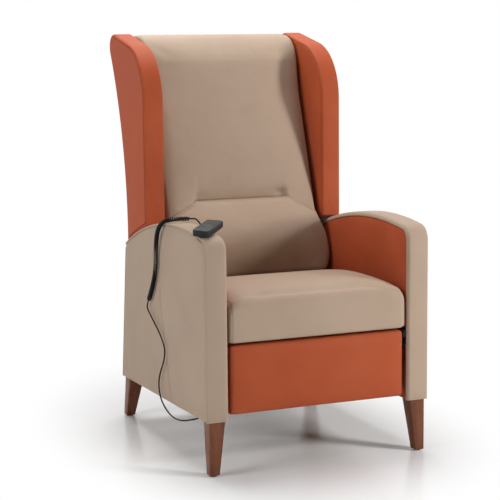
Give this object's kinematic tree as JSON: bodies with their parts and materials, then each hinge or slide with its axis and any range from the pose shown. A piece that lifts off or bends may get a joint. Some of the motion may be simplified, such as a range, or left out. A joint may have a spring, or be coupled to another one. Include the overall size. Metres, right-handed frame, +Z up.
{
  "type": "electric recliner armchair",
  "caption": "High-backed winged electric recliner armchair with a reclining back, a lifting leg rest, two linear drives and a handset on a curly cord.",
  "frame": {"origin": "on the floor, under the middle of the chair's bounding box (measured without the cord)", "axes": "+X to the viewer's right when facing the chair, -Y the front of the chair, +Z up"},
  "size_m": [0.6913, 0.8499, 1.1869],
  "materials": {
    "beige_leatherette": "soft satin leatherette with a fine grain, taupe beige",
    "terracotta_leatherette": "soft satin leatherette with a fine grain, terracotta",
    "leg_wood": "stained and lacquered hardwood, red brown",
    "glide_plastic": "matte nylon",
    "plywood": "bare plywood",
    "beech": "bare beech",
    "black_steel": "black powder coat",
    "zinc_steel": "zinc plated steel",
    "rod_steel": "polished steel",
    "drive_plastic": "matte black moulded plastic",
    "handset_plastic": "matte charcoal moulded plastic",
    "button_rubber": "soft light grey rubber",
    "board_green": "green circuit board",
    "cord_jacket": "matte black flexible jacket",
    "webbing_strap": "woven elastic webbing"
  },
  "bodies": {
    "base": {"side_frame_left": "plywood", "side_frame_right": "plywood", "outer_panel_left": "beige_leatherette", "outer_panel_right": "beige_leatherette", "inner_panel_left": "terracotta_leatherette", "inner_panel_right": "terracotta_leatherette", "arm_band_left": "beige_leatherette", "arm_band_right": "beige_leatherette", "front_leg_left": "leg_wood", "front_leg_right": "leg_wood", "rear_leg_left": "leg_wood", "rear_leg_right": "leg_wood", "leg_glides": "glide_plastic", "leg_bolts": "zinc_steel", "seat_rail_left": "beech", "seat_rail_right": "beech", "seat_front_rail": "beech", "seat_rear_rail": "beech", "rear_panel": "beige_leatherette", "drive_crossbars": "black_steel", "seat_webbing": "webbing_strap", "seat_cushion": "beige_leatherette", "back_hinge_brackets": "black_steel", "rest_hinge_brackets": "black_steel", "pivot_pins": "zinc_steel", "bracket_screws": "zinc_steel", "back_drive": "drive_plastic", "rest_drive": "drive_plastic", "control_box": "drive_plastic", "cord_gland": "drive_plastic", "handset_base": "handset_plastic", "handset_cover": "handset_plastic", "handset_board": "board_green", "cord_lead": "cord_jacket", "cord_curl": "cord_jacket", "cord_tail": "cord_jacket"},
    "back": {"back_upright_left": "beech", "back_upright_right": "beech", "back_top_rail": "beech", "back_bottom_rail": "beech", "back_webbing": "webbing_strap", "back_cushion": "beige_leatherette", "back_cover": "terracotta_leatherette", "back_hinge_plates": "black_steel", "back_lever": "black_steel", "wing_frame_left": "plywood", "wing_frame_right": "plywood", "wing_cover_left": "terracotta_leatherette", "wing_cover_right": "terracotta_leatherette"},
    "leg_rest": {"rest_board": "plywood", "rest_pad": "terracotta_leatherette", "rest_hinge_plates": "black_steel", "rest_lever": "black_steel"},
    "back_rod": {"back_drive_rod": "rod_steel"},
    "rest_rod": {"rest_drive_rod": "rod_steel"},
    "key_back_up": {"button_back_up": "button_rubber"},
    "key_back_down": {"button_back_down": "button_rubber"},
    "key_rest_up": {"button_rest_up": "button_rubber"},
    "key_rest_down": {"button_rest_down": "button_rubber"}
  },
  "joints": [
    {"name": "back_recline", "type": "hinge", "parent": "base", "child": "back", "pos_m": [0, 0.17, 0.412], "axis": [-1, 0, 0], "range_deg": [0, 40]},
    {"name": "rest_lift", "type": "hinge", "parent": "base", "child": "leg_rest", "pos_m": [0, -0.397, 0.339], "axis": [-1, 0, 0], "range_deg": [0, 80]},
    {"name": "back_drive_stroke", "type": "slide", "parent": "base", "child": "back_rod", "axis": [0, -1, 0], "range_m": [0, 0.08748]},
    {"name": "rest_drive_stroke", "type": "slide", "parent": "base", "child": "rest_rod", "axis": [0, -1, 0], "range_m": [0, 0.12483]},
    {"name": "key_back_up_press", "type": "slide", "parent": "base", "child": "key_back_up", "axis": [0, 0.1073, -0.9942], "range_m": [0, 0.001], "stiffness_N_per_m": 400},
    {"name": "key_back_down_press", "type": "slide", "parent": "base", "child": "key_back_down", "axis": [0, 0.1073, -0.9942], "range_m": [0, 0.001], "stiffness_N_per_m": 400},
    {"name": "key_rest_up_press", "type": "slide", "parent": "base", "child": "key_rest_up", "axis": [0, 0.1073, -0.9942], "range_m": [0, 0.001], "stiffness_N_per_m": 400},
    {"name": "key_rest_down_press", "type": "slide", "parent": "base", "child": "key_rest_down", "axis": [0, 0.1073, -0.9942], "range_m": [0, 0.001], "stiffness_N_per_m": 400}
  ],
  "couplings": [
    {"joint": "back_drive_stroke", "follows": "back_recline", "m_per_rad": 0.1253},
    {"joint": "rest_drive_stroke", "follows": "rest_lift", "m_per_rad": 0.089401}
  ]
}
